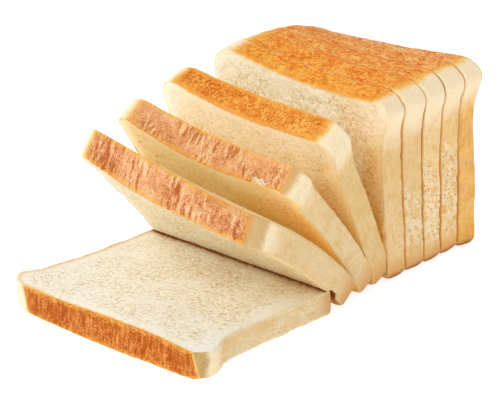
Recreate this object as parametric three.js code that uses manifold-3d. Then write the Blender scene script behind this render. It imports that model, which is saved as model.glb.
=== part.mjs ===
import * as THREE from 'three';
import { mergeVertices } from 'three/addons/utils/BufferGeometryUtils.js';
import Module from 'manifold-3d';

// A sliced tin loaf: one slice lies flat, three lean forward, five still stand together.
// Millimetres, +Z up. X runs across a slice, Y runs along the loaf away from the flat slice.

// The loaf's outline, seen along Y.
const loafWidth = 115;
const loafHeight = 99.6;
const footCornerRadius = 1.8;
const shoulderSwell = 4.2;
const shoulderHeight = 91;
const shoulderReach = 10;
const crustWave = 0.28;

// Cutting.
const sliceThickness = 15.05;
const thinning = 0.014;
const cutGap = 0.4;
const heelEdgeRadius = 4.5;

// How finely a slice is divided.
const columnCount = 8;
const sideRowCount = 8;
const cornerRowCount = 6;
const layerCount = 3;
const heelStepCount = 4;

// The flat slice and the three leaning ones. Leans are degrees from upright, at the foot and the
// top of the slice's left and right sides. Rises are added to the height of the top crust, and
// frontRise to its middle at the front edge. A belly is where a slice is cut thicker near the top.
const looseSlices = [
  {
    name: 'slice_1', foot: -73.3, across: -0.2, turn: -2.4, thickness: 13.5,
    wider: { left: 2, right: 1.1 }, swell: { left: 2, right: 1.65 },
    left: { foot: 90, top: 90 }, right: { foot: 90, top: 90 },
    rise: { left: 1.5, middle: 0.4, right: 0.6 }, corner: { left: 15, right: 3 },
    frontRise: 2.8, belly: { front: 0, rear: 1.6, at: 26 },
  },
  {
    name: 'slice_2', foot: -68.8, across: 0.6, turn: -0.4, thickness: 15.1,
    wider: { left: -0.7, right: 1.1 }, swell: { left: 0.35, right: 0.7 },
    left: { foot: 37.4, top: 48.5 }, right: { foot: 41.3, top: 65.2 },
    rise: { left: 1.4, middle: 6.4, right: -4.2 }, corner: { left: 16, right: 17 },
    frontRise: -0.4, belly: { front: 1.8, rear: 0, at: -3.5 },
  },
  {
    name: 'slice_3', foot: -51.6, across: 0, turn: -0.3, thickness: 14.1,
    wider: { left: 0.1, right: -0.8 }, swell: { left: 0.4, right: 1.7 },
    left: { foot: 33.6, top: 32.7 }, right: { foot: 32.7, top: 48.8 },
    rise: { left: 4.8, middle: -6.2, right: -0.8 }, corner: { left: 16.4, right: 9.5 },
    frontRise: -1.9, belly: { front: 2.1, rear: 0, at: -3 },
  },
  {
    name: 'slice_4', foot: -40.1, across: -1, turn: -0.1, thickness: 14.6,
    wider: { left: 0, right: -1 }, swell: { left: 0.6, right: 1.2 },
    left: { foot: 21.8, top: 15 }, right: { foot: 21.2, top: 31 },
    rise: { left: 1.6, middle: -2.1, right: 0.6 }, corner: { left: 15.6, right: 10 },
    frontRise: -2.2, belly: { front: 1, rear: 0, at: -3 },
  },
];
const bellyReach = 35;

// The standing slices share their cuts. The right side leans a little, less towards the heel.
const standingCount = 5;
const standingFoot = -29.3;
const standingAcross = -0.9;
const standingLean = { foot: 8.1, top: 3 };
const leanFade = { foot: 0.78, top: 0.85 };
const leftLean = { foot: 0.8, top: 0.5 };
const turnGrowth = 0.025;

// The outline of the standing slices. The first cut is squarer at the right than the others.
const standingCorner = { left: 15.3, right: 10.2 };
const standingSwell = { left: 0.9, right: 0.5 };
const swellGrowth = 0.03;
const firstCorner = { left: 15.3, right: 7 };
const firstSwell = { left: 0.3, right: 0.8 };
const leftWider = 0.4;
const leftFade = 0.5;
const rightWider = -1;
const rightGrowth = 0.25;

// The standing top crust. Its middle is highest near the third cut, and its right side climbs
// towards the heel as its left side falls.
const crownHeight = 0.15;
const crownCut = 2.9;
const crownFall = 0.52;
const leftRise = 3.7;
const leftFall = 0.012;
const rightRise = -1.5;
const rightClimb = 0.87;

// A small repeatable random source, one for each slice.
function makeRandom(seed) {
  let state = seed * 7919 + 17;
  return () => {
    state = (state * 16807) % 2147483647;
    return state / 2147483647;
  };
}

// Gentle waves along the crust, different on each slice.
function makeWave(seed) {
  const random = makeRandom(seed);
  const terms = [1, 2, 3].map((order) => ({
    pitch: order * (0.045 + 0.02 * random()),
    phase: random() * Math.PI * 2,
    size: (random() - 0.5) * 2 / order,
  }));
  return (distance) => {
    let total = 0;
    for (const term of terms) {
      total += term.size * Math.sin(distance * term.pitch + term.phase);
    }
    return total * crustWave;
  };
}

// Half the width of the outline at a height, for one side.
function halfWidth(height, top, side) {
  const reach = (height - shoulderHeight) / shoulderReach;
  const swell = shoulderSwell * side.swell * Math.exp(-reach * reach);
  const straight = loafWidth / 2 + side.wider + swell;
  if (height < footCornerRadius) {
    const up = footCornerRadius - Math.max(height, 0);
    return straight - footCornerRadius + Math.sqrt(footCornerRadius ** 2 - up * up);
  }
  const up = height - (top - side.radius);
  if (up > 0) {
    const rise = Math.min(up, side.radius);
    return straight - side.radius + Math.sqrt(side.radius ** 2 - rise * rise);
  }
  return straight;
}

// The heights of the rows, closer together round the corners.
function rowHeights(top, cornerRadius) {
  const heights = [0, footCornerRadius * 0.3, footCornerRadius];
  const sideTop = top - cornerRadius;
  for (let row = 1; row < sideRowCount; row += 1) {
    heights.push(footCornerRadius + (sideTop - footCornerRadius) * row / sideRowCount);
  }
  for (let row = 0; row <= cornerRowCount; row += 1) {
    const angle = Math.PI / 2 * row / cornerRowCount;
    heights.push(sideTop + cornerRadius * Math.sin(angle));
  }
  return heights;
}

// A bent and leaning sheet standing on the floor: across and up the sheet to a point in space.
function makeSheet(pose) {
  const turn = THREE.MathUtils.degToRad(pose.turn);
  const ahead = new THREE.Vector3(-Math.sin(turn), Math.cos(turn), 0);
  const sideways = new THREE.Vector3(Math.cos(turn), Math.sin(turn), 0);
  return (across, up, offset) => {
    const share = across / loafWidth + 0.5;
    const footLean = THREE.MathUtils.lerp(pose.left.foot, pose.right.foot, share);
    const topLean = THREE.MathUtils.lerp(pose.left.top, pose.right.top, share);
    const foot = THREE.MathUtils.degToRad(footLean);
    const bend = THREE.MathUtils.degToRad(topLean - footLean) * up / loafHeight;
    const middle = foot + bend / 2;
    const chord = Math.abs(bend) < 1e-6 ? up : up * Math.sin(bend / 2) / (bend / 2);
    const point = new THREE.Vector3(pose.across, pose.foot, 0);
    point.addScaledVector(sideways, across);
    point.addScaledVector(ahead, offset * Math.cos(foot + bend) - chord * Math.sin(middle));
    point.z = chord * Math.cos(middle) + offset * Math.sin(foot + bend);
    return point;
  };
}

// The outline part of the way from a slice's front cut to its rear one.
function outlineAt(front, rear, depth) {
  const outline = {};
  for (const part of Object.keys(front)) {
    outline[part] = {};
    for (const side of Object.keys(front[part])) {
      outline[part][side] = THREE.MathUtils.lerp(front[part][side], rear[part][side], depth);
    }
  }
  return outline;
}

// One slice as a closed block of rows, columns and layers between its two cut sheets.
function sliceBlock(slice, extra) {
  const wave = makeWave(slice.seed);
  const top = loafHeight;
  const heights = rowHeights(top, slice.front.corner.left);
  const layers = slice.layers ?? evenLayers(layerCount);
  const positions = [];
  for (const layer of layers) {
    const { wider, swell, corner, rise } = outlineAt(slice.front, slice.rear, layer.depth);
    const leftSide = { wider: wider.left, swell: swell.left, radius: corner.left };
    const rightSide = { wider: wider.right, swell: swell.right, radius: corner.right };
    heights.forEach((height, row) => {
      const share = height / top;
      const inset = layer.inset - extra;
      const leftEdge = -halfWidth(height, top, leftSide) + inset - wave(height);
      const rightEdge = halfWidth(height, top, rightSide) - inset + wave(height + 150);
      for (let column = 0; column <= columnCount; column += 1) {
        const across = THREE.MathUtils.lerp(leftEdge, rightEdge, column / columnCount);
        const t = across / (loafWidth / 2);
        const tilt = (rise.right - rise.left) / 2 * t;
        const bow = ((rise.left + rise.right) / 2 - rise.middle) * t * t;
        const lift = rise.middle + tilt + bow - layer.inset + wave(across + 300);
        const edge = row === 0 ? -extra : extra * share;
        const up = height + lift * share * share + edge;
        const reach = layer.depth * extra * 2 - extra;
        positions.push(slice.place(across, up, layer.depth, reach));
      }
    });
  }
  return closeBlock(positions, layers.length, heights.length, columnCount + 1);
}

function evenLayers(count) {
  const layers = [];
  for (let index = 0; index <= count; index += 1) {
    layers.push({ depth: index / count, inset: 0 });
  }
  return layers;
}

// Triangles over the six faces of a block grid, facing outwards.
function closeBlock(points, layerTotal, rowTotal, columnTotal) {
  const at = (layer, row, column) => (layer * rowTotal + row) * columnTotal + column;
  const indices = [];
  const addQuad = (a, b, c, d) => indices.push(a, b, c, a, c, d);
  const lastLayer = layerTotal - 1;
  const lastRow = rowTotal - 1;
  const lastColumn = columnTotal - 1;
  for (let row = 0; row < lastRow; row += 1) {
    for (let column = 0; column < lastColumn; column += 1) {
      addQuad(
        at(0, row, column), at(0, row, column + 1),
        at(0, row + 1, column + 1), at(0, row + 1, column),
      );
      addQuad(
        at(lastLayer, row, column), at(lastLayer, row + 1, column),
        at(lastLayer, row + 1, column + 1), at(lastLayer, row, column + 1),
      );
    }
  }
  for (let layer = 0; layer < lastLayer; layer += 1) {
    for (let column = 0; column < lastColumn; column += 1) {
      addQuad(
        at(layer, 0, column), at(layer + 1, 0, column),
        at(layer + 1, 0, column + 1), at(layer, 0, column + 1),
      );
      addQuad(
        at(layer, lastRow, column), at(layer, lastRow, column + 1),
        at(layer + 1, lastRow, column + 1), at(layer + 1, lastRow, column),
      );
    }
    for (let row = 0; row < lastRow; row += 1) {
      addQuad(at(layer, row, 0), at(layer, row + 1, 0), at(layer + 1, row + 1, 0), at(layer + 1, row, 0));
      addQuad(
        at(layer, row, lastColumn), at(layer + 1, row, lastColumn),
        at(layer + 1, row + 1, lastColumn), at(layer, row + 1, lastColumn),
      );
    }
  }
  const geometry = new THREE.BufferGeometry().setFromPoints(points);
  geometry.setIndex(indices);
  return geometry;
}

// A loose slice keeps its own thickness, measured square to its front sheet.
function loosePlace(slice) {
  const sheet = makeSheet(slice);
  const { front, rear, at } = slice.belly;
  return (across, up, depth, reach) => {
    const away = (across - at) / bellyReach;
    const bulge = Math.exp(-away * away) * (up / loafHeight) ** 3;
    const thicker = bulge * (depth * rear - (1 - depth) * front);
    return sheet(across, up, depth * slice.thickness + thicker + reach);
  };
}

// A standing slice fills the room between two neighbouring cuts, less half the gap at each.
function standingPlace(front, rear) {
  return (across, up, depth, reach) => {
    const near = front(across, up, 0);
    const far = rear(across, up, 0);
    const span = near.distanceTo(far);
    const share = (cutGap / 2 + depth * (span - cutGap) + reach) / span;
    return near.lerp(far, share);
  };
}

function cutPose(index) {
  return {
    foot: standingFoot + sliceThickness * index * (1 - thinning * index),
    across: standingAcross,
    turn: turnGrowth * index ** 2,
    left: leftLean,
    right: {
      foot: standingLean.foot * leanFade.foot ** index,
      top: standingLean.top * leanFade.top ** index,
    },
  };
}

function cutOutline(index) {
  const isFirst = index === 0;
  const laterSwell = { left: standingSwell.left, right: standingSwell.right + swellGrowth * index ** 2 };
  return {
    wider: { left: leftWider * leftFade ** index, right: rightWider + rightGrowth * index },
    swell: isFirst ? firstSwell : laterSwell,
    corner: isFirst ? firstCorner : standingCorner,
    rise: {
      left: leftRise - leftFall * index ** 4,
      middle: crownHeight - crownFall * (index - crownCut) ** 2,
      right: rightRise + rightClimb * index,
    },
  };
}

// The heel's back is crust, rounded over.
function heelLayers() {
  const layers = [{ depth: 0, inset: 0 }];
  for (let step = 0; step <= heelStepCount; step += 1) {
    const angle = Math.PI / 2 * step / heelStepCount;
    layers.push({
      depth: 1 - heelEdgeRadius * (1 - Math.sin(angle)) / sliceThickness,
      inset: heelEdgeRadius * (1 - Math.cos(angle)) / 2,
    });
  }
  return layers;
}

function standingSlice(index) {
  const number = looseSlices.length + index + 1;
  const isHeel = index === standingCount - 1;
  return {
    name: `slice_${number}`,
    seed: number,
    front: cutOutline(index),
    rear: cutOutline(index + 1),
    layers: isHeel ? heelLayers() : undefined,
    place: standingPlace(makeSheet(cutPose(index)), makeSheet(cutPose(index + 1))),
  };
}

// A loose slice has one outline, but its top crust may rise more at the front edge.
function looseOutline(slice, frontShare) {
  const middle = slice.rise.middle + slice.frontRise * frontShare;
  return {
    wider: slice.wider,
    swell: slice.swell,
    corner: slice.corner,
    rise: { ...slice.rise, middle },
  };
}

const wasm = await Module();
wasm.setup();

function toSolid(geometry) {
  const welded = mergeVertices(geometry, 1e-4);
  return new wasm.Manifold(new wasm.Mesh({
    numProp: 3,
    vertProperties: new Float32Array(welded.attributes.position.array),
    triVerts: new Uint32Array(welded.index.array),
  }));
}

function toGeometry(solid) {
  const mesh = solid.getMesh();
  const geometry = new THREE.BufferGeometry();
  geometry.setAttribute('position', new THREE.BufferAttribute(new Float32Array(mesh.vertProperties), 3));
  geometry.setIndex(new THREE.BufferAttribute(new Uint32Array(mesh.triVerts), 1));
  geometry.computeVertexNormals();
  return geometry;
}

const slices = looseSlices.map((slice, index) => ({
  name: slice.name,
  seed: index + 1,
  front: looseOutline(slice, 1),
  rear: looseOutline(slice, 0),
  place: loosePlace(slice),
}));
for (let index = 0; index < standingCount; index += 1) {
  slices.push(standingSlice(index));
}

// The second slice is pressed against the flat one's end. The foot of each leaning slice after
// that is squashed where the next one stands.
const solids = slices.map((slice) => toSolid(sliceBlock(slice, 0)));
const keepClear = slices.map((slice) => toSolid(sliceBlock(slice, cutGap)));
solids[1] = solids[1].subtract(keepClear[0]);
for (let index = 1; index < looseSlices.length; index += 1) {
  solids[index] = solids[index].subtract(keepClear[index + 1]);
}

const group = new THREE.Group();
slices.forEach((slice, index) => {
  const isHeel = index === slices.length - 1;
  const material = new THREE.MeshStandardMaterial({
    color: isHeel ? 0xe0ab62 : 0xf0dcb4,
    roughness: 0.85,
    metalness: 0,
  });
  const mesh = new THREE.Mesh(toGeometry(solids[index]), material);
  mesh.name = slice.name;
  group.add(mesh);
});

// The middle of the whole footprint is the origin.
const bounds = new THREE.Box3().setFromObject(group);
const middle = bounds.getCenter(new THREE.Vector3());
for (const mesh of group.children) {
  mesh.position.set(-middle.x, -middle.y, -bounds.min.z);
}

export default group;
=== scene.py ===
import bpy
import math
import numpy as np
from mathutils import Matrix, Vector


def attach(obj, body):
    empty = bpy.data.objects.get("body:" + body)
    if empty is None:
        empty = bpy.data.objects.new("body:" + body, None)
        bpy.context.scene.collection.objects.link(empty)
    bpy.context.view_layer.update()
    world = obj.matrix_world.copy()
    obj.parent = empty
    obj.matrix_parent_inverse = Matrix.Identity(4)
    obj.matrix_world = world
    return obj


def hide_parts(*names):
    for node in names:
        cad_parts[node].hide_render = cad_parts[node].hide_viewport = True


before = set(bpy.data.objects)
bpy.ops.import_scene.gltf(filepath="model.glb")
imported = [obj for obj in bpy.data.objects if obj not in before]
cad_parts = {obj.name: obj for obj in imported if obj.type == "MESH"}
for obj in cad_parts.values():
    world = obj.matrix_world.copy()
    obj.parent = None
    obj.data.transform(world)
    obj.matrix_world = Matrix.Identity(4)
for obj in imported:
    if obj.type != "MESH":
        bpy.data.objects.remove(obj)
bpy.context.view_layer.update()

mm = 0.001
scene = bpy.context.scene

# The loaf before it was cut, in millimetres. X runs across a slice, Y along the loaf, Z up.
loaf = {
    "width": 115,
    "height": 99.6,
    "footCorner": 3.5,
    "shoulderSwell": 4.2,
    "shoulderHeight": 91,
    "shoulderReach": 10,
    "crustWave": 0.28,
    "thickness": 15.05,
    "thinning": 0.014,
    "gap": 0.32,
    "heelEdge": 4.5,
    "heelSpread": 1.8,             # at the foot of the heel's back, growing down between heights
    "heelSpreadFrom": (75, 35),
    "shift": (3.581, 67.718, 0),   # to the middle of the whole footprint
    "cell": 0.74,                  # fine mesh spacing, on the slices that show a cut face
    "coarseCell": 1.1,             # the others
    "quickCell": 2.0,
    "sharpAngle": 58,              # degrees, edges sharper than this aren't smoothed
}

# The flat slice and the three leaning ones: leans in degrees from upright at foot and top, and
# rises of the top crust at its left, middle and right. A belly is a thicker place near the top.
looseSlices = [
    {
        "foot": -73.3, "across": -0.2, "turn": -2.4, "thickness": 13.5,
        "wider": (2, 1.1), "swell": (2, 1.65), "corner": (15, 3),
        "leanLeft": (90, 90), "leanRight": (90, 90), "rise": (1.5, 0.4, 0.6),
        "frontRise": 2.8, "belly": (0, 1.6, 26),
    },
    {
        "foot": -68.8, "across": 0.6, "turn": -0.4, "thickness": 15.1,
        "wider": (0.8, 1.1), "swell": (0.35, 0.7), "corner": (16, 17),
        "leanLeft": (37.4, 48.5), "leanRight": (41.3, 65.2), "rise": (1.4, 6.4, -4.2),
        "frontRise": -0.4, "belly": (1.8, 0, -3.5),
    },
    {
        "foot": -51.6, "across": 0, "turn": -0.3, "thickness": 14.1,
        "wider": (0.1, -0.8), "swell": (0.4, 1.7), "corner": (16.4, 9.5),
        "leanLeft": (33.6, 32.7), "leanRight": (32.7, 48.8), "rise": (4.8, -6.2, -0.8),
        "frontRise": -1.9, "belly": (2.1, 0, -3),
    },
    {
        "foot": -40.1, "across": -1, "turn": -0.1, "thickness": 14.6,
        "wider": (0, -1), "swell": (0.6, 1.2), "corner": (15.6, 10),
        "leanLeft": (21.8, 15), "leanRight": (21.2, 31), "rise": (1.6, -2.1, 0.6),
        "frontRise": -2.2, "belly": (1, 0, -3),
    },
]

# The five that stand share their cuts.
standing = {
    "count": 5,
    "foot": -29.3,
    "across": -0.9,
    "lean": (8.1, 3),              # of the right side at foot and top, fading towards the heel
    "leanFade": (0.78, 0.85),
    "leftLean": (0.8, 0.5),
    "cutWave": 0.35,
    "cutRagged": 0.5,
}


# Repeatable random numbers, the same as the solids use for their waves.
def makeRandom(seed):
    state = seed * 7919 + 17

    def draw():
        nonlocal state
        state = (state * 16807) % 2147483647
        return state / 2147483647

    return draw


def makeWave(seed):
    draw = makeRandom(seed)
    terms = []
    for order in (1, 2, 3):
        pitch = order * (0.045 + 0.02 * draw())
        phase = draw() * math.pi * 2
        terms.append((pitch, phase, (draw() - 0.5) * 2 / order))
    return lambda distance: loaf["crustWave"] * sum(
        size * np.sin(distance * pitch + phase) for pitch, phase, size in terms)


def hashNoise(ix, iy, iz, seed):  # one repeatable value from 0 to 1 for each lattice point
    mixed = (ix * 73856093) ^ (iy * 19349663) ^ (iz * 83492791) ^ (seed * 2654435)
    mixed = (mixed ^ (mixed >> 13)) * 1274126177 & 0x7FFFFFFF
    mixed = (mixed ^ (mixed >> 15)) * 668265263 & 0x7FFFFFFF
    return ((mixed ^ (mixed >> 12)) & 0xFFFFF) / 0xFFFFF


def smoothNoise(points, seed):  # value noise, about -1 to 1, one lump for each unit
    cell = np.floor(points).astype(np.int64)
    part = points - cell
    part = part * part * (3 - 2 * part)
    total = 0
    for dx in (0, 1):
        for dy in (0, 1):
            for dz in (0, 1):
                weight = (np.abs(1 - dx - part[..., 0]) * np.abs(1 - dy - part[..., 1])
                          * np.abs(1 - dz - part[..., 2]))
                total = total + weight * hashNoise(cell[..., 0] + dx, cell[..., 1] + dy,
                                                   cell[..., 2] + dz, seed)
    return total * 2 - 1


def layeredNoise(points, seed, layers):
    total = 0
    size = 1
    for layer in range(layers):
        total = total + size * smoothNoise(points * 2 ** layer, seed + layer * 31)
        size = size / 2
    return total


def poreField(points, seed, spread, radius):  # 1 in the middle of a pore, 0 outside them all
    scaled = points / spread
    cell = np.floor(scaled).astype(np.int64)
    best = np.zeros(len(points))
    for dx in (-1, 0, 1):
        for dy in (-1, 0, 1):
            cx = cell[:, 0] + dx
            cy = cell[:, 1] + dy
            spot = np.stack([cx + hashNoise(cx, cy, 1, seed), cy + hashNoise(cx, cy, 2, seed)], -1)
            size = radius / spread * (0.35 + 1.1 * hashNoise(cx, cy, 3, seed) ** 2.5)
            squash = 0.55 + 0.45 * hashNoise(cx, cy, 4, seed)
            offset = scaled[:, :2] - spot
            away = np.hypot(offset[:, 0], offset[:, 1] / squash) / size
            best = np.maximum(best, np.clip(1 - away * away, 0, 1))
    return best


def halfWidth(height, wider, swell, radius):
    reach = (height - loaf["shoulderHeight"]) / loaf["shoulderReach"]
    straight = (loaf["width"] / 2 + wider
                + loaf["shoulderSwell"] * swell * np.exp(-reach * reach))
    foot = loaf["footCorner"]
    below = np.clip(foot - height, 0, foot)
    above = np.clip(height - (loaf["height"] - radius), 0, radius)
    return (straight - foot + np.sqrt(foot ** 2 - below ** 2)
            - radius + np.sqrt(radius ** 2 - above ** 2))


def makeSheet(pose):  # a bent, leaning sheet: across, up and offset to a point
    turn = math.radians(pose["turn"])
    ahead = np.array([-math.sin(turn), math.cos(turn), 0])
    sideways = np.array([math.cos(turn), math.sin(turn), 0])

    def place(across, up, offset):
        share = across / loaf["width"] + 0.5
        foot = np.radians(pose["leanLeft"][0] + (pose["leanRight"][0] - pose["leanLeft"][0]) * share)
        top = np.radians(pose["leanLeft"][1] + (pose["leanRight"][1] - pose["leanLeft"][1]) * share)
        bend = (top - foot) * up / loaf["height"]
        middle = foot + bend / 2
        chord = up * np.sinc(bend / 2 / math.pi)
        forward = offset * np.cos(foot + bend) - chord * np.sin(middle)
        rise = chord * np.cos(middle) + offset * np.sin(foot + bend)
        base = np.array([pose["across"], pose["foot"], 0])
        return (base + across[..., None] * sideways + forward[..., None] * ahead
                + rise[..., None] * np.array([0, 0, 1]))

    return place


def cutPose(index):
    footLean, topLean = standing["lean"]
    footFade, topFade = standing["leanFade"]
    return {
        "foot": standing["foot"] + loaf["thickness"] * index * (1 - loaf["thinning"] * index),
        "across": standing["across"],
        "turn": 0.025 * index ** 2,
        "leanLeft": standing["leftLean"],
        "leanRight": (footLean * footFade ** index, topLean * topFade ** index),
    }


def cutOutline(index):  # the first cut is squarer at the right than the others
    first = index == 0
    return {
        "wider": (0.4 * 0.5 ** index, -1 + 0.25 * index),
        "swell": (0.3, 0.8) if first else (0.9, 0.5 + 0.03 * index ** 2),
        "corner": (15.3, 7 if first else 10.2),
        "rise": (3.7 - 0.012 * index ** 4, 0.15 - 0.52 * (index - 2.9) ** 2,
                 -1.5 + 0.87 * index),
    }


def placeLoose(pose):
    sheet = makeSheet(pose)
    front, rear, at = pose["belly"]

    def place(across, up, depth):
        bulge = np.exp(-((across - at) / 35) ** 2) * np.clip(up / loaf["height"], 0, 2) ** 3
        thicker = bulge * (depth * rear - (1 - depth) * front)
        return sheet(across, up, depth * pose["thickness"] + thicker)

    return place


def placeStanding(index):
    front = makeSheet(cutPose(index))
    rear = makeSheet(cutPose(index + 1))

    def wander(cut, across, up):  # a knife's path isn't quite straight
        if cut == standing["count"]:
            return 0 * up
        spot = np.stack([up / 15, across / 24, 9.7 * cut + 0 * up], -1)
        crumbs = np.stack([up / 3.6, across / 3.6, 9.7 * cut + 0 * up], -1)
        return (standing["cutWave"] * smoothNoise(spot, 4)
                + standing["cutRagged"] * smoothNoise(crumbs, 6))

    def place(across, up, depth):
        near = front(across, up, wander(index, across, up))
        far = rear(across, up, wander(index + 1, across, up))
        span = np.linalg.norm(far - near, axis=-1)
        share = (loaf["gap"] / 2 + depth * (span - loaf["gap"])) / span
        return near + (far - near) * share[..., None]

    return place


# Every slice in order, with what its mesh needs.
slices = []
for index, pose in enumerate(looseSlices):
    left, middle, right = pose["rise"]
    rear = {key: pose[key] for key in ("wider", "swell", "corner", "rise")}
    slices.append({
        "number": index + 1,
        "thickness": pose["thickness"],
        "front": {**rear, "rise": (left, middle + pose["frontRise"], right)},
        "rear": rear,
        "place": placeLoose(pose),
        "heel": False,
        "cell": loaf["cell"],
        "start": 40 * index,         # where its texture lies along the loaf
        "soft": (1, 1.5),            # how much the cut edges are rounded, on top and at the sides
    })
for index in range(standing["count"]):
    slices.append({
        "number": len(looseSlices) + index + 1,
        "thickness": loaf["thickness"],
        "front": cutOutline(index),
        "rear": cutOutline(index + 1),
        "place": placeStanding(index),
        "heel": index == standing["count"] - 1,
        "cell": loaf["cell"] if index == 0 else loaf["coarseCell"],
        "start": 200 + loaf["thickness"] * index,
        "soft": (0.15, 2.2),
    })


def rowHeights(cornerRadius, cell):
    foot = loaf["footCorner"]
    top = loaf["height"]
    footRows = foot * (1 - np.cos(np.linspace(0, math.pi / 2, 5)))
    sideRows = np.linspace(foot, top - cornerRadius, round((top - cornerRadius - foot) / cell))
    angles = np.linspace(0, math.pi / 2, round(cornerRadius * math.pi / 2 / cell))
    cornerRows = top - cornerRadius + cornerRadius * np.sin(angles)
    return np.concatenate([footRows[:-1], sideRows[:-1], cornerRows])


# The layers of a slice through its thickness, as depth share, how far a cut edge is softened
# there, and how far the heel's back edge is rounded in.
def layerTable(piece):
    cell = piece["cell"]
    thickness = piece["thickness"]
    edge = np.array([0, 0.35, 0.9, 1.7]) / thickness
    edgeSoft = np.array([0.5, 0.2, 0.05, 0])
    if not piece["heel"]:
        count = round((thickness - 3.4) / cell)
        middle = np.linspace(edge[3], 1 - edge[3], count)[1:-1]
        depth = np.concatenate([edge, middle, 1 - edge[::-1]])
        soft = np.concatenate([edgeSoft, 0 * middle, edgeSoft[::-1]])
        return depth, soft, 0 * depth
    radius = loaf["heelEdge"]
    roundStart = 1 - radius / thickness
    middle = np.linspace(edge[3], roundStart, round((thickness - radius) / cell))[1:-1]
    angle = np.linspace(0, math.pi / 2, round(radius * math.pi / 2 / cell) + 2)
    depth = np.concatenate([edge, middle, 1 - radius * (1 - np.sin(angle)) / thickness])
    soft = np.concatenate([edgeSoft, 0 * middle, 0 * angle])
    inset = np.concatenate([0 * edge, 0 * middle, radius * (1 - np.cos(angle)) / 2])
    return depth, soft, inset


# Only the nodes on the skin of the block are kept, numbered in one run.
def blockLattice(layerCount, rowCount, columnCount):
    onSkin = np.zeros((layerCount, rowCount, columnCount), bool)
    onSkin[[0, -1]] = True
    onSkin[:, [0, -1]] = True
    onSkin[:, :, [0, -1]] = True
    number = np.full(onSkin.shape, -1)
    number[onSkin] = np.arange(onSkin.sum())
    layer, row, column = np.nonzero(onSkin)

    def quads(sheet, flip):
        corners = [sheet[:-1, :-1], sheet[:-1, 1:], sheet[1:, 1:], sheet[1:, :-1]]
        if flip:
            corners.reverse()
        return np.stack(corners, -1).reshape(-1, 4)

    faces = {
        "front": quads(number[0], False),
        "rear": quads(number[-1], True),
        "band": np.concatenate([
            quads(number[:, 0], True), quads(number[:, -1], False),
            quads(number[:, :, 0], False), quads(number[:, :, -1], True)]),
    }
    return layer, row, column, faces


def surfaceNormals(points, quads):
    a, b, c, d = (points[quads[:, corner]] for corner in range(4))
    flat = np.cross(c - a, d - b)
    total = np.zeros_like(points)
    for corner in range(4):
        for axis in range(3):
            total[:, axis] += np.bincount(quads[:, corner], flat[:, axis], len(points))
    length = np.linalg.norm(total, axis=1, keepdims=True)
    return total / np.maximum(length, 1e-9)


# How rough the cut faces and the crust are, in millimetres.
relief = {
    "faceLump": 0.35,
    "poreDepth": 0.5,
    "poreSpread": 5.2,
    "poreRadius": 0.95,
    "finePoreSpread": 2.1,
    "finePoreRadius": 0.8,
    "finePoreDepth": 0.3,
    "faceGrain": 0.1,
    "crustLump": 0.24,
    "crustGrain": 0.05,
    "wrinkle": 0.55,
    "foldShade": 2.4,              # not a length: how strong the painted light and shade on the flanks of folds is
    "ragged": 0.6,
    "pitSpread": 2.1,
    "pitRadius": 0.7,
    "pitDepth": 0.18,
    "footLift": 2.4,               # the edges of the foot are rounded up by this
    "footLiftReach": 1.6,
    "footZone": 5,
}

# The floury, pitted band low on the right side of a slice, in millimetres.
flourBand = {
    "foot": (6, 16),               # fades in upwards between these heights
    "top": (46, 38),               # and out again between these
    "slope": 0.9,                  # lower towards the back of a slice
    "wave": 6,
    "higher": 9,                   # on each slice after the sixth
    "sideStart": 66,               # along the crust from the middle of the top
}

# Where each top crust stops being brown at the left and right, in millimetres along the crust
# from the middle of the top, how much further that is at the back, and how softly it ends. Then
# how deeply it is wrinkled and how floury and pitted the side is. Some have one thing more: a
# left edge that bulges (how far, at what height, how tall), a place where the top is creased the
# most (where, how wide), or a torn patch.
crustLook = {
    1: {"brownEnd": (49, 63.5), "backFurther": (6, -3), "fade": (2.2, 0.9), "wrinkle": 0.5,
        "pits": 0.25, "leftBulge": (2.4, 72, 11)},
    2: {"brownEnd": (46.5, 58), "fade": (3.4, 2.4), "wrinkle": 1.5, "pits": 0.2,
        "creased": (-32, 11)},
    3: {"brownEnd": (49, 57.5), "fade": (3.8, 2.4), "wrinkle": 1.1, "pits": 0.1,
        "torn": {"at": 40.5, "length": (8, 3), "deepestAt": 37, "depth": (5.4, 2.4),
                 "lump": 0.7, "sunk": 0.4}},
    4: {"brownEnd": (50, 54), "fade": (3, 2.6), "wrinkle": 0.4, "pits": 0.1},
    5: {"brownEnd": (46, 52.5), "fade": (4, 3.2), "wrinkle": 0.45, "pits": 0.35},
    6: {"brownEnd": (50, 52.5), "fade": (4, 3.2), "wrinkle": 0.4, "pits": 0.9},
    7: {"brownEnd": (54, 53), "fade": (5, 3.2), "wrinkle": 0.4, "pits": 1.0},
    8: {"brownEnd": (56, 53.5), "fade": (5, 3.2), "wrinkle": 0.4, "pits": 0.9},
    9: {"brownEnd": (56, 54), "fade": (5, 4), "wrinkle": 0.4, "pits": 0.2},
}


def smoothStep(low, high, value):
    part = np.clip((value - low) / (high - low), 0, 1)
    return part * part * (3 - 2 * part)


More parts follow.
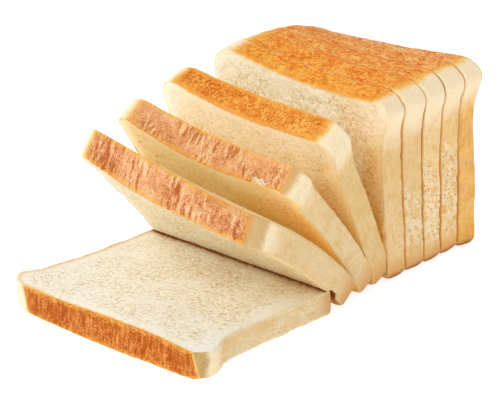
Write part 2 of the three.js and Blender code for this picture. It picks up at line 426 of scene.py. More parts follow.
# Works out one slice: its points, its faces and what its materials need to know at each point.
def shapeSlice(piece):
    number = piece["number"]
    look = crustLook[number]
    cell = piece["cell"]
    thickness = piece["thickness"]
    wave = makeWave(number)
    front = piece["front"]
    rear = piece["rear"]
    heights = rowHeights(front["corner"][0], cell)
    depths, softs, insets = layerTable(piece)
    columnCount = round(loaf["width"] / cell) + 1
    layer, row, column, faces = blockLattice(len(depths), len(heights), columnCount)

    height = heights[row]
    depth = depths[layer]
    topInset = insets[layer] + softs[layer] * piece["soft"][0]
    sideInset = insets[layer] + softs[layer] * piece["soft"][1]
    share = height / loaf["height"]

    def edgeAt(side):  # half the width there, and the way along the crust to it
        halves = []
        ways = []
        for outline in (front, rear):
            half = halfWidth(heights, outline["wider"][side], outline["swell"][side],
                             outline["corner"][side])
            steps = np.hypot(np.diff(half), np.diff(heights))
            halves.append(half[row])
            ways.append((half[-1] + np.concatenate([np.cumsum(steps[::-1])[::-1], [0]]))[row])
        return (halves[0] + (halves[1] - halves[0]) * depth,
                ways[0] + (ways[1] - ways[0]) * depth)

    leftHalf, downLeft = edgeAt(0)
    rightHalf, downRight = edgeAt(1)
    bulgeSize, bulgeAt, bulgeReach = look.get("leftBulge", (0, 0, 1))
    bulge = bulgeSize * np.exp(-((height - bulgeAt) / bulgeReach) ** 2)
    leftEdge = -leftHalf + sideInset - wave(height) - bulge
    rightEdge = rightHalf - sideInset + wave(height + 150)
    if piece["heel"]:  # its back spreads a little more towards the foot
        lower = smoothStep(*loaf["heelSpreadFrom"], height)
        rightEdge = rightEdge + loaf["heelSpread"] * depth * lower
    across = leftEdge + (rightEdge - leftEdge) * column / (columnCount - 1)
    t = across / (loaf["width"] / 2)
    left, middle, right = (a + (b - a) * depth for a, b in zip(front["rise"], rear["rise"]))
    rise = (middle + (right - left) / 2 * t + ((left + right) / 2 - middle) * t * t
            - topInset + wave(across + 300))
    footness = smoothStep(relief["footZone"], 0, height)
    toEdge = np.minimum(depth, 1 - depth) * thickness
    footLift = relief["footLift"] * np.exp(-toEdge / relief["footLiftReach"]) * footness
    up = height + rise * share * share + footLift
    points = piece["place"](across, up, depth)

    toLeft = across - leftEdge
    toRight = rightEdge - across
    toTop = loaf["height"] - height
    toFoot = height
    sideGap = np.minimum(toLeft, toRight)
    onTop = (toTop < sideGap) & (toTop < toFoot)
    onFoot = (toFoot < sideGap) & (toFoot < toTop)
    along = np.where(toLeft < toRight, -downLeft, downRight)
    along = np.where(onTop, across, along)
    along = np.where(onFoot, np.sign(along) * (np.abs(along) + sideGap), along)
    rim = np.minimum(np.minimum(sideGap, toTop), toFoot)
    further = look.get("backFurther", (0, 0))
    brown = np.where(along < 0, (look["brownEnd"][0] + further[0] * depth + along) / look["fade"][0],
                     (look["brownEnd"][1] + further[1] * depth - along) / look["fade"][1])
    inDepth = depth * thickness
    toCut = inDepth if piece["heel"] else np.minimum(inDepth, thickness - inDepth)

    local = np.stack([across, up, inDepth + piece["start"]], -1)
    band = np.stack([along, inDepth * 0.8 + piece["start"], 0 * along], -1)
    inner = smoothStep(2.5, 9, rim)

    # The cut faces go inwards, or a tenth of a millimetre out at most, to keep neighbours apart.
    lump = layeredNoise(local / 14, number, 2)
    pores = poreField(local + 7 * number, 11 * number + (depth > 0.5), relief["poreSpread"],
                      relief["poreRadius"]) * inner
    finePores = poreField(local, 5 * number, relief["finePoreSpread"],
                          relief["finePoreRadius"]) * (0.3 + 0.7 * inner)
    grain = smoothNoise(local / 1.1, number + 60)
    faceMove = (relief["faceLump"] * (lump - 1) * 0.5 - relief["poreDepth"] * pores
                - relief["finePoreDepth"] * finePores + relief["faceGrain"] * (grain - 1))

    topness = np.clip(brown, 0, 1)
    slanting = (along + 0.12 * inDepth) / 3.1 + 0.6 * smoothNoise(band / 6, number + 21)

    def foldAt(shift):
        wide = smoothNoise(np.stack([slanting + shift, inDepth / 8, 0 * along], -1), number + 20)
        narrow = smoothNoise(np.stack([slanting * 2.1 + shift * 2, inDepth / 4.5, 0 * along], -1),
                             number + 22)
        return wide * 0.7 + narrow * 0.75

    crease = foldAt(0)
    steep = foldAt(0.22) - crease    # one flank of each fold gets painted shade, the other painted light
    deeper = look["wrinkle"] * np.clip(0.45 + 1.5 * smoothNoise(band / 9, number + 23), 0.05, 1.4)
    if "creased" in look:
        creaseAt, creaseReach = look["creased"]
        deeper = deeper * 0.8 + 0.9 * np.exp(-((along - creaseAt) / creaseReach) ** 2)
    crustMove = (relief["crustLump"] * layeredNoise(band / 8, number + 40, 3)
                 + relief["wrinkle"] * deeper * topness * (crease * 0.6 - 0.4)
                 + relief["crustGrain"] * smoothNoise(band / 1.2, number + 80))
    flourEdge = (up + flourBand["slope"] * (inDepth - 7)
                 + flourBand["wave"] * smoothNoise(band / 7, 17)
                 - flourBand["higher"] * max(number - 6, 0))
    pitBand = (smoothStep(*flourBand["foot"], up) * smoothStep(*flourBand["top"], flourEdge)
               * (along > 0) * look["pits"])
    onSide = (np.abs(along) > flourBand["sideStart"]) * 1.0
    pits = poreField(np.stack([up, inDepth + 33 * number, 0 * up], -1), number + 90,
                     relief["pitSpread"], relief["pitRadius"])
    pits = pits * np.maximum(pitBand, 0.12 * smoothStep(2, 10, up)) * onSide
    crustMove = crustMove - relief["pitDepth"] * pits
    nearCut = smoothStep(1.1, 0, toCut)
    ragged = np.abs(smoothNoise(np.stack([along / 1.6, 3.0 * number + 0 * along, depth * 9], -1),
                                number + 13))
    crustMove = crustMove - relief["ragged"] * nearCut * ragged * (1 if number <= 5 else 0.4)

    torn = np.zeros(len(up))
    if "torn" in look:  # a patch of the top crust pulled away at the front edge
        ragEdge = smoothNoise(np.stack([along / 2.6, inDepth / 1.5, 0 * along], -1), 5)
        patch = look["torn"]
        inward = inDepth + ragEdge * 1.6 + 0.12 * np.abs(along - patch["deepestAt"])
        torn = (smoothStep(*patch["length"], np.abs(along - patch["at"]) + ragEdge * 2.2)
                * smoothStep(*patch["depth"], inward) * topness)
        crustMove = crustMove + torn * (patch["lump"] * layeredNoise(band / 1.9, 8, 2)
                                        - patch["sunk"])

    frontNormal = surfaceNormals(points, faces["front"])
    rearNormal = surfaceNormals(points, faces["rear"])
    bandNormal = surfaceNormals(points, faces["band"])
    if piece["heel"]:  # the back of the heel is crust
        rearMove = relief["crustLump"] * 1.6 * (layeredNoise(local / 9, 3, 3) - 1)
        frontShare = (depth < 0.5) * 1.0
        points = points + frontNormal * (faceMove * frontShare)[:, None]
        points = points + rearNormal * (rearMove * (1 - frontShare))[:, None]
    else:
        points = points + (frontNormal + rearNormal) * faceMove[:, None]
    points = points + bandNormal * crustMove[:, None]

    marks = {
        "ring": np.abs(along) / 10,
        "brown": np.clip(brown, -3, 12),
        "rim": rim,
        "toCut": toCut,
        "pores": np.maximum(pores, 0.6 * finePores),
        "pits": np.maximum(pits, 0),
        "torn": torn,
        "patch": pitBand * onSide,
        "foldLightAndShade": np.clip(steep * deeper * relief["foldShade"], -2, 2),
        "folded": deeper,
        "pressed": 0 * along,
    }
    return points, faces, local / 10, marks


# The slices that lean press on what is next to them at the foot, so soft crumb gives way.
squash = {
    "behindFlat": 0.2,             # room left beyond the gap, behind the flat slice and above it
    "aboveFlat": 0.1,
    "reach": 26,                   # how far up a foot is pressed
}


# Each point goes back or up. A face between one of each kind still cuts the flat slice's corner.
def squashOnFlat(points):
    flat = looseSlices[0]
    turn = math.radians(flat["turn"])
    endFace = (flat["foot"] + math.tan(turn) * (points[:, 0] - flat["across"]) + loaf["gap"]
               + squash["behindFlat"])
    top = flat["thickness"] + loaf["gap"] + squash["aboveFlat"]
    behind = endFace - points[:, 1]
    under = top - points[:, 2]
    inside = (behind > 0) & (under > 0)
    pushBack = inside & (behind < under)
    lift = inside & ~pushBack
    points[pushBack, 1] = endFace[pushBack]
    points[lift, 2] = top
    return points


def nextFace(points, pose):  # where the front of that slice is, at each point
    turn = math.radians(pose["turn"])
    share = points[:, 0] / loaf["width"] + 0.5
    lean = np.radians(pose["leanLeft"][0] + (pose["leanRight"][0] - pose["leanLeft"][0]) * share)
    return (pose["foot"] + math.tan(turn) * (points[:, 0] - pose["across"])
            - points[:, 2] * np.tan(lean) - loaf["gap"] / np.cos(lean))


def squashOnNext(points, pose):
    low = points[:, 2] < squash["reach"]
    limit = nextFace(points, pose)
    points[:, 1] = np.where(low, np.minimum(points[:, 1], limit), points[:, 1])
    return points


def addObject(name, content):
    thing = bpy.data.objects.new(name, content)
    scene.collection.objects.link(thing)
    return thing


def makeMesh(name, points, faces, localPoint, marks, heel):
    quads = np.concatenate([faces["front"], faces["rear"], faces["band"]])
    mesh = bpy.data.meshes.new(name)
    mesh.vertices.add(len(points))
    mesh.loops.add(quads.size)
    mesh.polygons.add(len(quads))
    mesh.vertices.foreach_set("co", (points * mm).astype(np.float32).ravel())
    mesh.loops.foreach_set("vertex_index", quads.astype(np.int32).ravel())
    mesh.polygons.foreach_set("loop_start", np.arange(0, quads.size, 4, dtype=np.int32))
    slots = np.zeros(len(quads), np.int32)
    slots[len(faces["front"]) + (0 if heel else len(faces["rear"])):] = 1
    mesh.polygons.foreach_set("material_index", slots)
    mesh.update(calc_edges=True)
    where = mesh.attributes.new("loafPoint", "FLOAT_VECTOR", "POINT")
    where.data.foreach_set("vector", localPoint.astype(np.float32).ravel())
    for key, values in marks.items():
        mark = mesh.attributes.new(key, "FLOAT", "POINT")
        mark.data.foreach_set("value", values.astype(np.float32))
    mesh.shade_smooth()
    mesh.set_sharp_from_angle(angle=math.radians(loaf["sharpAngle"]))
    return mesh


# A socket that takes part in sums. An expression on values adds its Math nodes.
class Value:
    def __init__(self, maker, socket):
        self.maker = maker
        self.socket = socket

    def math(self, operation, *values):
        return self.maker.add("ShaderNodeMath", {"operation": operation}, values)

    def __add__(self, other):
        return self.math("ADD", self, other)

    __radd__ = __add__

    def __sub__(self, other):
        return self.math("SUBTRACT", self, other)

    def __rsub__(self, other):
        return self.math("SUBTRACT", other, self)

    def __mul__(self, other):
        return self.math("MULTIPLY", self, other)

    __rmul__ = __mul__

    def __truediv__(self, other):
        return self.math("DIVIDE", self, other)

    def __rtruediv__(self, other):
        return self.math("DIVIDE", other, self)

    def __pow__(self, other):
        return self.math("POWER", self, other)

    def lower(self, other):
        return self.math("MINIMUM", self, other)

    def higher(self, other):
        return self.math("MAXIMUM", self, other)

    def size(self):
        return self.math("ABSOLUTE", self)

    def ramp(self, low, high):  # 0 below low, 1 above high, eased between
        settings = {"interpolation_type": "SMOOTHSTEP"}
        return self.maker.add("ShaderNodeMapRange", settings,
                              {"Value": self, "From Min": low, "From Max": high}, "Result")


class Maker:  # builds one material's nodes
    def __init__(self, name):
        self.material = bpy.data.materials.new(name)
        self.material.use_nodes = True
        self.nodes = self.material.node_tree.nodes
        self.links = self.material.node_tree.links
        self.nodes.clear()

    def add(self, kind, settings=None, inputs=None, output=0):
        node = self.nodes.new(kind)
        for key, setting in (settings or {}).items():
            setattr(node, key, setting)
        pairs = inputs.items() if isinstance(inputs, dict) else enumerate(inputs or [])
        for key, value in pairs:
            socket = node.inputs[key]
            if isinstance(value, Value):
                self.links.new(value.socket, socket)
            else:
                socket.default_value = value
        return Value(self, node.outputs[output]) if node.outputs else None

    def mark(self, name, output="Fac"):
        return self.add("ShaderNodeAttribute", {"attribute_name": name}, output=output)

    def axis(self, point, letter):
        return self.add("ShaderNodeSeparateXYZ", {}, [point], letter)

    def scaled(self, point, x, y, z):
        return self.add("ShaderNodeVectorMath", {"operation": "MULTIPLY"}, [point, (x, y, z)])

    def noise(self, point, scale, detail=2.0, rough=0.5, bend=0.0):
        return self.add("ShaderNodeTexNoise", {},
                        {"Vector": point, "Scale": scale, "Detail": detail,
                         "Roughness": rough, "Distortion": bend}, "Fac")

    def blend(self, share, first, second, kind="MIX"):  # colours come as codes or sockets
        settings = {"data_type": "RGBA", "blend_type": kind}
        inputs = {0: share}
        for key, shade in ((6, first), (7, second)):
            inputs[key] = colour(shade) if isinstance(shade, str) else shade
        return self.add("ShaderNodeMix", settings, inputs, 2)

    def bump(self, height, strength, distance):
        inputs = {"Height": height, "Strength": strength, "Distance": distance}
        return self.add("ShaderNodeBump", {}, inputs, "Normal")

    def finish(self, base, roughness, normal, constants):
        inputs = {"Base Color": base, "Roughness": roughness, "Normal": normal, **constants}
        shader = self.add("ShaderNodeBsdfPrincipled", {}, inputs, "BSDF")
        self.add("ShaderNodeOutputMaterial", {}, {"Surface": shader})
        return self.material


def colour(code):  # a six-figure screen colour as a linear one
    parts = [int(code[i:i + 2], 16) / 255 for i in (0, 2, 4)]
    linear = [p / 12.92 if p <= 0.04045 else ((p + 0.055) / 1.055) ** 2.4 for p in parts]
    return (*linear, 1)


softness = {
    "Subsurface Weight": 0.1,
    "Subsurface Radius": (1.0, 0.85, 0.6),
    "Subsurface Scale": 0.0009,
}

# The crumb of each cut face, the golden painted shade it takes towards the right and away from
# the top, how strongly it is flecked, how strong a painted glow it has, and how far down that starts.
crumbLook = {
    1: {"base": "F0EDE2", "gold": "E8D6AE", "right": 0.25, "low": 0.8, "from": -0.35, "fleck": 0.9,
        "glow": 0.05, "glowFrom": 0.6, "rim": "E2B070"},
    2: {"base": "F2E8CE", "gold": "EED294", "right": 0.35, "low": 0.1, "from": 0.2, "fleck": 0.9,
        "glow": 0.05, "glowFrom": 0.1, "rim": "DDAA66"},
    3: {"base": "FCF0CC", "gold": "F4C03C", "right": 0.35, "low": 1.3, "from": -0.1, "fleck": 0.8,
        "glow": 0.13, "glowFrom": -1, "rim": "DDA55C"},
    4: {"base": "F9F6E8", "gold": "DEB862", "right": 0.95, "low": 0.9, "from": -0.5, "fleck": 0.75,
        "glow": 0.05, "glowFrom": -1, "rim": "DDAA66"},
    5: {"base": "F3EBD4", "gold": "EEB850", "right": 0.72, "low": 0.68, "from": -0.2,
        "fleck": 1.1, "glow": 0.02, "glowFrom": -1, "rim": "F3DDB0"},
}
# the hidden cut faces have a stronger painted glow, close under the top
hiddenCrumb = {**crumbLook[5], "glow": 0.09, "rim": "F6C674", "rimTop": "E2801C"}

crumbMarks = {
    "white": "FFFAEC",
    "fleck": "DEC68E",       # multiplied in
    "goldFleck": "D8AC62",
    "poreShade": "D6B070",
    "rimTop": "FAC05E",
    "rimSoft": "FCF0DA",
    "behind": "F6D492",      # under the top crust at the back
    "rimFoot": "C08A48",
    "paintedGlow": "FFD070",
    "paintedGlowTop": "FFC030",
    "shaded": "E8AC5E",      # painted shade under the slice that leans over
    "pressed": "963C08",
    "beside": "EFDDB0",
    "bakedLeft": "E2B87C",   # the left edge of the flat slice
}

crustColours = {
    "cream": "FDEAC4",
    "creamLeft": "FFE8C6",
    "sideDeep": "E2B268",
    "heel": "F8C468",
    "heelDeep": "D88E34",
    "foot": "D08C3C",
    "floury": "FCEED0",
    "pitColourAndShade": "C88A44",
    "rimGlow": "FBB850",
    "turning": "FACE80",
    "turningLeft": "F6C880",
    "turningLean": "DDA862",
    "underside": "8A4414",
    "cutEdge": "E6C080",
    "cutEdgeFlat": "F9EED0",
    "seamShadeAndCrumbs": "E2AA56",
    "topSeamShade": "C4661C",
    "torn": "FFF2D2",
    "tornDeep": "DFA65C",
    "tornEdge": "B86E2A",
    "heelRear": "EDBE76",
    "heelRearDeep": "DA984C",
    "paintedWarmGlow": "FF9848",
}

# Roughness, shine, the strength and depth in metres of the finest relief, and the crust's painted
# glow.
crumbSurface = {"rough": 0.85, "shine": 0.05, "bump": (0.4, 0.0007)}
crustSurface = {"rough": 0.62, "shine": 0.06, "bump": (0.7, 0.001), "paintedWarmGlow": 0.03}

# The browned top: dark, middle and light, how far it is lined. Then the side below it, and for
# some slices a strip of painted shade between them and where that ends, in centimetres along the
# crust.
topLook = {
    1: {"dark": "A84E10", "middle": "C66422", "light": "E89C50", "lines": 0.3, "side": "EBDAB2",
        "paintedShadeStrip": ("C29A58", 6.75)},
    # slices 2 and 3 are paler and pinker on top: partly their crust, partly a painted sheen
    2: {"dark": "BC6630", "middle": "EAA66E", "light": "FFD8A8", "lines": 0.15, "side": "EBD2A4",
        "paintedShadeStrip": ("D6B074", 6.7)},
    3: {"dark": "C8723C", "middle": "F0AE74", "light": "FFDCAA", "lines": 0.15, "side": "F0D8AA",
        "paintedShadeStrip": ("D3A866", 6.2)},
    4: {"dark": "CC5C04", "middle": "F0922E", "light": "FFC868", "lines": 0.3, "side": "EBCE96"},
    5: {"dark": "E06E04", "middle": "FC9C20", "light": "FFCE6A", "lines": 0.5, "side": "ECD09A"},
    6: {"dark": "E06808", "middle": "FE9824", "light": "FFCE6E", "lines": 0.6, "side": "ECD09A"},
    7: {"dark": "DC640E", "middle": "FE9C34", "light": "FFD67E", "lines": 0.7, "side": "F8DCA4"},
    8: {"dark": "DA6214", "middle": "FC9C3E", "light": "FFD888", "lines": 0.7, "side": "F4D294"},
    9: {"dark": "D8661E", "middle": "FCA04C", "light": "FFDA96", "lines": 0.7, "side": "F4CA80"},
}


def crumbMaterial(piece):
    number = piece["number"]
    look = crumbLook.get(number, hiddenCrumb)
    maker = Maker(f"crumb{number}")
    blend = maker.blend
    noise = maker.noise
    point = maker.mark("loafPoint", "Vector")
    rim, brown, pores = (maker.mark(key) for key in ("rim", "brown", "pores"))
    inner = rim.ramp(1.5, 9.0)
    across = maker.axis(point, "X") / (loaf["width"] / 20)
    up = maker.axis(point, "Y") / (loaf["height"] / 10)
    along = maker.axis(point, "Z") - piece["start"] / 10

    streaks = noise(maker.scaled(point, 0.8, 1.1, 1), 3.8, 3, 0.6, 0.9)
    specks = noise(maker.scaled(point, 0.85, 1.1, 1), 6.0, 3, 0.62)
    fine = noise(point, 13.0, 2, 0.6)
    atRight = across.ramp(0.3, 0.8)
    clouds = noise(point, 0.55, 2)
    patchy = clouds.ramp(0.35, 0.6) * 0.7 + 0.3
    fleck = (streaks.ramp(0.53, 0.66) * 0.55 + specks.ramp(0.5, 0.62) * 0.5
             + fine.ramp(0.5, 0.62) * 0.35)
    fleck = fleck * patchy * look["fleck"] * (inner * 0.5 + 0.5)
    pale = (1 - specks.ramp(0.4, 0.49)) * 0.6 + (1 - fine.ramp(0.38, 0.48)) * 0.5

    # golden painted shade, growing towards the right and the foot, where the slices shade each other
    gold = across * look["right"] + (1 - up) * look["low"] + look["from"] + (clouds - 0.5) * 0.5
    gold = gold.ramp(0.0, 1.0)
    pale = pale * (1 - gold * 0.75)
    base = blend(gold, look["base"], look["gold"])
    paleRim = (1 - inner) * (0.3 - gold * 0.25) * (1 - atRight * 0.8)
    base = blend(paleRim, base, crumbMarks["white"])
    base = blend(pale * (inner * 0.6 + 0.4) * 0.7, base, crumbMarks["white"])
    if 2 <= number <= 4:
        behind = along.ramp(0.6, 0.9) * (1 - (rim + (specks - 0.5) * 8).ramp(8, 24))
        base = blend(behind * 0.9, base, crumbMarks["behind"])
    if number >= 3:  # paler again beside the right crust
        beside = (1 - (rim + (streaks - 0.5) * 12).ramp(2, 11)) * atRight * up.ramp(0.2, 0.6)
        base = blend(beside * (0.4 if number == 5 else 0.2), base, crumbMarks["beside"])
    if number in (4, 5):  # floury in the corner where the pale crust turns
        corner = up.ramp(0.74, 0.93) * across.ramp(0.6, 0.9) * (0.7 if number == 5 else 0.35)
        base = blend(corner * (specks * 1.6), base, crumbMarks["white"])
    # the flecks turn golden with the painted shade
    flecked = blend(gold, crumbMarks["fleck"], crumbMarks["goldFleck"])
    base = blend(fleck, base, flecked, "MULTIPLY")
    # painted shade in the pores
    base = blend(pores * 0.6, base, crumbMarks["poreShade"], "MULTIPLY")

    # The cut crust round it: golden under the top, hardly seen at the shoulders and the right.
    underTop = brown.ramp(-0.3, 0.8)
    ragged = rim + (noise(point, 7.0, 3) - 0.5) * (underTop * 3 + 2.2) + underTop * 0.3
    cutCrust = look["rim"]
    shown = 0.9
    reach = 5                        # wide on the cuts inside the block
    if number <= 5:
        fainter = up.ramp(0.74, 0.88).higher(across.ramp(-0.4, 0.4))
        cutCrust = blend(fainter, cutCrust, crumbMarks["rimSoft"])
        shown = 0.9 - fainter * 0.8 * (1 - underTop)
        reach = 2.0
    cutCrust = blend(underTop, cutCrust, look.get("rimTop", crumbMarks["rimTop"]))
    cutCrust = blend(up.ramp(0.05, 0.02), cutCrust, crumbMarks["rimFoot"])
    if number == 1:  # its left edge is baked further in
        baked = (1 - (rim + (specks - 0.5) * 9).ramp(0.5, 4.5)) * (1 - across.ramp(-0.9, -0.5))
        base = blend(baked * 0.8, base, crumbMarks["bakedLeft"])
    base = blend((1 - ragged.ramp(0.1, reach)) * shown, base, cutCrust)
    # Painted shade where the slices touch, darkest in a brown line at the contact.
    pressed = maker.mark("pressed") + (specks - 0.5) * 0.8 + (fine - 0.5) * 0.6
    base = blend(pressed.ramp(0.2, 1.0) * 0.35, base, crumbMarks["shaded"])
    base = blend(pressed.ramp(0.8, 0.92) * 0.95, base, crumbMarks["pressed"])
    base = blend(up.ramp(0.14, 0.02) * 0.8, base, crumbMarks["rimFoot"])

    height = specks * 0.8 + fine * 0.5 - pores * 0.4 + streaks * 0.6
    normal = maker.bump(height * -1, *crumbSurface["bump"])
    rough = crumbSurface["rough"] + fleck * 0.1
    # A painted glow, not a lamp, stands in for the warm light between the slices.
    if number <= 5:
        start = look["glowFrom"]
        paintedGlowMask = (1 - up).ramp(start, start + 0.4) * up.ramp(0.02, 0.3)
        paintedGlow = blend(paintedGlowMask, "000000", crumbMarks["paintedGlow"])
    else:  # the painted glow is only close under the top
        paintedGlow = blend(underTop, "000000", crumbMarks["paintedGlowTop"])
    return maker.finish(base, rough, normal, {
        **softness, "Specular IOR Level": crumbSurface["shine"], "Emission Color": paintedGlow,
        "Emission Strength": look["glow"]})


def crustMaterial(piece):
    number = piece["number"]
    look = topLook[number]
    maker = Maker(f"crust{number}")
    blend = maker.blend
    noise = maker.noise
    leaning = number in (2, 3)
    point = maker.mark("loafPoint", "Vector")
    ring, brown, toCut, pits, patch, foldLightAndShade, folded = (
        maker.mark(key) for key in ("ring", "brown", "toCut", "pits", "patch", "foldLightAndShade", "folded"))
    across = maker.axis(point, "X")
    up = maker.axis(point, "Y")
    along = maker.axis(point, "Z") - piece["start"] / 10

    # The pale sides, more golden away from the shoulder and brown at the foot.
    streak = noise(maker.scaled(point, 3.0, 0.3, 2.4), 2.6, 3, 0.6)
    mottle = noise(point, 1.4, 3, 0.55)
    fine = noise(point, 14.0, 3, 0.6)
    grit = noise(point, 26.0, 2, 0.6)
    down = ring + (mottle - 0.5) * 0.9
    fibres = 0.15 if leaning else 0.4
    deep = (mottle.ramp(0.38, 0.66) * 0.4 + streak.ramp(0.45, 0.7) * fibres + (grit - 0.5) * 1.6
            + (fine - 0.5) * 1.8 + 0.06)
    side = blend(deep, look["side"], crustColours["sideDeep"])
    if piece["heel"]:
        bakedMore = deep + (1 - up.ramp(0, 5)) * 0.1
        baked = blend(bakedMore, crustColours["heel"], crustColours["heelDeep"])
        side = blend(0.75, side, baked)
    cream = blend(across.ramp(1, -2), crustColours["cream"], crustColours["creamLeft"])
    side = blend(down.ramp(6.9, 8.8), cream, side)
    footness = (1 - (up + (mottle - 0.5) * 1.4).ramp(0.0, 1.6)) * (0.4 if piece["heel"] else 0.7)
    side = blend(footness, side, crustColours["foot"])
    flour = patch * noise(point, 2.4, 3).ramp(0.35, 0.6) * 0.6
    side = blend(flour, side, crustColours["floury"])
    # pits and specks are tan-brown, partly their colour and partly painted shade in the hollows
    speck = noise(point, 9.0, 2).ramp(0.56, 0.7) * (patch * 0.5 + 0.2)
    side = blend((pits + speck).lower(0.75), side, crustColours["pitColourAndShade"])
    # Darker where it rests: browned bottom crust, and painted contact shade.
    resting = (up + (fine - 0.5) * 0.3).ramp(0.3, 0.05).higher(maker.mark("floor"))
    side = blend(resting * 0.9, side, crustColours["underside"])
    # a strip of painted shade where the shoulder turns away from the light
    if "paintedShadeStrip" in look:
        code, end = look["paintedShadeStrip"]
        stripEnd = ring + (fine - 0.5) * 0.4 + (mottle - 0.5) * 0.6
        paintedShadeStrip = (1 - stripEnd.ramp(end - 0.25, end + 0.25)) * across.ramp(0, 1)
        side = blend(paintedShadeStrip * (0.5 + fine * 0.8), side, code)
    if number <= 5:  # hardly a line where the pale crust meets the crumb
        toFront = toCut if number < 5 else toCut + along.ramp(0.5, 0.8) * 20
        edge = 1 - (toFront + (fine - 0.5) * 2).ramp(0.2, 2.4)
        edgeCode = crustColours["cutEdgeFlat" if number == 1 else "cutEdge"]
        side = blend(edge * ring.ramp(6.2, 7.2) * 0.5, side, edgeCode)
    if number >= 5:  # painted shade in the seams where the slices meet, and crumbs gathered there
        toSeam = toCut if number > 5 else toCut + (1 - along.ramp(0.5, 0.8)) * 20
        seamShadeAndCrumbs = (1 - (toSeam + (fine - 0.5) * 3).ramp(0.2, 1.2)) * ring.ramp(6.2, 8.8) * 0.8
        side = blend(seamShadeAndCrumbs, side, crustColours["seamShadeAndCrumbs"])

    # The browned top. The loose slices have creases that run through them, with painted light on one
    # flank and painted shade on the other.
    wrinkle = noise(maker.scaled(point, 0.6, 1, 1.2), 3.6, 4, 0.62, 1.3)
    if number < 5:
        lines = 1 - ((wrinkle - 0.5).size() * 9).ramp(0.05, 0.55)
    else:  # a finer net of wrinkles over the block, painted light along each and painted shade beside it
        net = noise(maker.scaled(point, 0.7, 1, 1.3), 2.1, 4, 0.55, 1.6) - 0.5
        lines = 1 - (net.size() * 22).ramp(0.1, 0.9) - (net * 14).ramp(0.1, 1.0) * 0.45
    cloud = noise(point, 1.0, 3, 0.55, 0.5)
    blotch = noise(maker.scaled(point, 0.8, 1, 1), 5.5, 3, 0.65, 0.4)
    pebble = noise(point, 12.0, 2, 0.65)
    blotchy = 0.8 if number <= 3 else 2.0
    grainy = 0.65 if leaning else 1
    level = ((cloud - 0.5) * 1.2 + (blotch - 0.5) * blotchy
             + ((pebble - 0.5) * 1.9 + (grit - 0.5) * 2.2) * grainy
             + lines * look["lines"] * 0.8 + 0.46)
    height = fine * 0.5 + grit * 0.3 + streak * 0.15
    topHeight = (wrinkle - 0.5) * 1.6 + (blotch - 0.5) * 1.2 + (pebble - 0.5) * 0.6
    if number <= 4:
        finer = []
        for shift in (0, 0.05):
            place = maker.add("ShaderNodeCombineXYZ", {}, [across + along * 0.12 + shift, up * 0.3,
                                                           along * 0.35])
            finer.append(noise(place, 4.5, 2, 0.5, 0.3))
        # painted light on one flank of each crease, painted shade on the other
        flankLightAndShade = foldLightAndShade + (finer[1] - finer[0]) * (folded * 5 + 3) + (pebble - 0.5) * 0.8
        flankLightAndShade = flankLightAndShade * (0.6 if number == 4 else 1)
        level = level + flankLightAndShade.ramp(0.25, 1.1) * 0.4 - (flankLightAndShade * -1).ramp(0.2, 1.3) * 0.5
    if number == 1:  # drawn out through the slice where the tin held it
        drawn = noise(maker.scaled(point, 1, 1, 0.12), 6.0, 3, 0.6, 0.3)
        level = level + (drawn - 0.5) * 2.6 + (across.ramp(-3, 5.5) - 0.5) * 0.15
    if number == 2:  # its left third is baked the darkest
        level = level - (1 - (across + 3.2).size().ramp(0.6, 2.2)) * 0.22 - across.ramp(2.5, 5) * 0.14
    top = blend(level.ramp(0.0, 0.55), look["dark"], look["middle"])
    top = blend(level.ramp(0.5, 1.1), top, look["light"])
    golden = (1 - brown.ramp(0.3, 2.4)) * (0.25 if number <= 3 else 0.6)
    top = blend(golden, top, crustColours["rimGlow"])
    if number <= 5:
        uneven = (blotch - 0.5) * 9 + (pebble - 0.5) * 5
        rimGlow = (1 - (toFront + uneven).ramp(0.1, 2.2)) * 0.8
        top = blend(rimGlow, top, crustColours["rimGlow"])
    if number >= 5:
        # painted highlights and crumbs along the top edge at the seams, and painted shade in the seam
        # itself
        seamHighlightAndCrumbs = (1 - (toSeam + (fine - 0.5) * 6).ramp(0.2, 1.6)) * cloud.ramp(0.4, 0.6) * 0.6
        top = blend(seamHighlightAndCrumbs, top, look["light"])
        topSeamShade = (1 - (toSeam + (fine - 0.5) * 3).ramp(0.0, 0.7)) * (blotch.ramp(0.4, 0.6) * 0.6)
        top = blend(topSeamShade, top, crustColours["topSeamShade"])
    ragged = 1.8 if number >= 4 else 0.9
    soft = brown + (mottle - 0.5) * ragged + (fine - 0.5) * ragged + (pebble - 0.5) * ragged
    turnedRight = crustColours["turningLean" if leaning else "turning"]
    turned = blend(across.ramp(1, -2), turnedRight, crustColours["turningLeft"])
    turning = blend(soft.ramp(-0.7, 0.2), side, turned)
    topness = soft.ramp(-0.1, 0.9)
    base = blend(topness, turning, top)
    if "torn" in crustLook[number]:
        crumbTorn = blend(fine.ramp(0.42, 0.66), crustColours["torn"], crustColours["tornDeep"])
        ragTorn = maker.mark("torn") * (pebble * 1.6 + 0.2)
        base = blend(ragTorn.ramp(0.1, 0.25) * 0.6, base, crustColours["tornEdge"])
        base = blend(ragTorn.ramp(0.35, 0.55), base, crumbTorn)
    if piece["heel"]:
        bake = noise(point, 0.7, 4, 0.6) + (fine - 0.5) * 0.5 + (grit - 0.5) * 0.4
        rear = blend(bake.ramp(0.25, 0.8), crustColours["heelRearDeep"], crustColours["heelRear"])
        base = blend(toCut.ramp(12.6, 14.0), base, rear)

    normal = maker.bump(height + topness * topHeight, *crustSurface["bump"])
    rough = crustSurface["rough"] - topness * 0.12 + fine * 0.1
    # a faint painted glow lifts the standing slices' crust
    paintedWarmGlow = crustSurface["paintedWarmGlow"] if number >= 5 else 0
    return maker.finish(base, rough, normal, {
        **softness, "Specular IOR Level": crustSurface["shine"],
        "Emission Color": colour(crustColours["paintedWarmGlow"]), "Emission Strength": paintedWarmGlow})


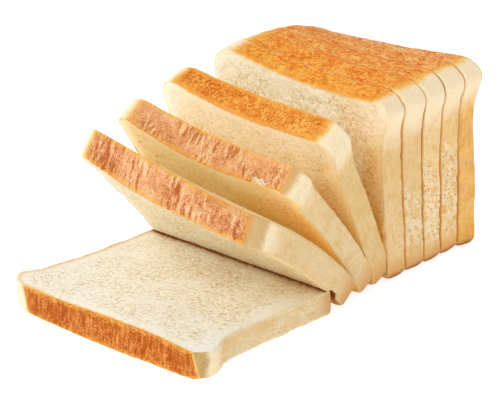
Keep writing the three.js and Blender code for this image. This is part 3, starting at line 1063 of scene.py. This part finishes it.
# Between which distances each painted contact shade and browning fades in, in millimetres.
contact = {
    "onFlat": (7, -0.5),           # on the flat slice, towards the one that lies on it
    "underLeaning": (2.6, 0.2),    # on that one, down to the flat slice
    "floor": (5.0, 1.2),
}

loafShift = np.array(loaf["shift"])
for piece in slices:
    number = piece["number"]
    points, faces, localPoint, marks = shapeSlice(piece)
    if number == 2:
        points = squashOnFlat(points)
    if 2 <= number <= 4:
        nextPose = looseSlices[number] if number < 4 else cutPose(0)
        points = squashOnNext(points, nextPose)
    points[:, 2] = np.maximum(points[:, 2], 0)
    if number == 1:  # painted shade, with a dark brown line, where the next slice lies on it
        toNext = nextFace(points, looseSlices[1]) - points[:, 1]
        marks["pressed"] = smoothStep(*contact["onFlat"], toNext)
    # its browned foot and painted contact shade where it stands on the flat slice
    if number == 2:
        above = points[:, 2] - looseSlices[0]["thickness"]
        marks["pressed"] = smoothStep(*contact["underLeaning"], above)
    marks["floor"] = smoothStep(*contact["floor"], points[:, 2]) * (number > 1)
    name = f"breadSlice{number}"
    mesh = makeMesh(name, points + loafShift, faces, localPoint, marks, piece["heel"])
    slab = addObject(name, mesh)
    mesh.materials.append(crumbMaterial(piece))
    mesh.materials.append(crustMaterial(piece))
    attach(slab, "root")
    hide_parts(f"slice_{number}")
    print(f"slice {number}: {len(mesh.polygons)} faces")

# The floor, a flat sheet of pale paper that glows as on a product studio's light table.
floorLook = {
    "dark": "B4B4B4",
    "light": "B8B8B8",
    "grain": 180.0,
    "rough": 0.9,
    "glow": 0.8,
    "reach": 4.0,                    # metres from the middle to each edge
}
paper = Maker("paper")
grainy = paper.noise(paper.add("ShaderNodeTexCoord", output="Object"), floorLook["grain"], 2)
white = paper.blend(grainy, floorLook["dark"], floorLook["light"])
paper.finish(white, floorLook["rough"], paper.bump(grainy, 0.02, 0.0002),
             {"Specular IOR Level": 0.1, "Emission Color": (1, 1, 1, 1),
              "Emission Strength": floorLook["glow"]})
floorMesh = bpy.data.meshes.new("paperSweep")
reach = floorLook["reach"]
floorMesh.from_pydata([(-reach, -reach, 0), (reach, -reach, 0), (reach, reach, 0), (-reach, reach, 0)],
                      [], [(0, 1, 2, 3)])
floorMesh.materials.append(paper.material)
addObject("paperSweep", floorMesh)

studio = {
    "sky": 0.65,
    "lamps": [                       # name, place, size, watts, colour
        ("keyBox", (-0.3, -1.3, 1.2), 1.1, 12.5, (1.0, 0.99, 0.97)),
        ("rightBox", (1.6, -0.2, 0.8), 1.2, 2.0, (1.0, 0.98, 0.95)),
        ("leftBox", (-1.5, 0.3, 1.1), 1.2, 6.5, (1.0, 1.0, 0.98)),
    ],
}

world = bpy.data.worlds.new("studioAir")
scene.world = world
world.use_nodes = True
world.node_tree.nodes["Background"].inputs["Color"].default_value = (1, 1, 1, 1)
world.node_tree.nodes["Background"].inputs["Strength"].default_value = studio["sky"]
for name, place, size, watts, tint in studio["lamps"]:
    lamp = bpy.data.lights.new(name, "AREA")
    lamp.shape = "DISK"
    lamp.size = size
    lamp.energy = watts
    lamp.color = tint
    holder = addObject(name, lamp)
    holder.location = place
    holder.rotation_euler = (Vector((0, 0, 0.04)) - Vector(place)).to_track_quat("-Z", "Y").to_euler()

view = {
    "azimuth": 40.65,
    "elevation": 21.66,
    "distance": 1.2375,
    "target": (0.00122, 0.00015, 0.0408),
    "lens": 180,
}
turn = math.radians(view["azimuth"])
tilt = math.radians(view["elevation"])
back = Vector((math.sin(turn) * math.cos(tilt), -math.cos(turn) * math.cos(tilt), math.sin(tilt)))
cameraData = bpy.data.cameras.new("camera")
cameraData.lens = view["lens"]
cameraData.sensor_width = 36
camera = addObject("camera", cameraData)
camera.location = Vector(view["target"]) + back * view["distance"]
camera.rotation_euler = (-back).to_track_quat("-Z", "Y").to_euler()
scene.camera = camera
scene.view_settings.view_transform = "Standard"
scene.view_settings.look = "None"
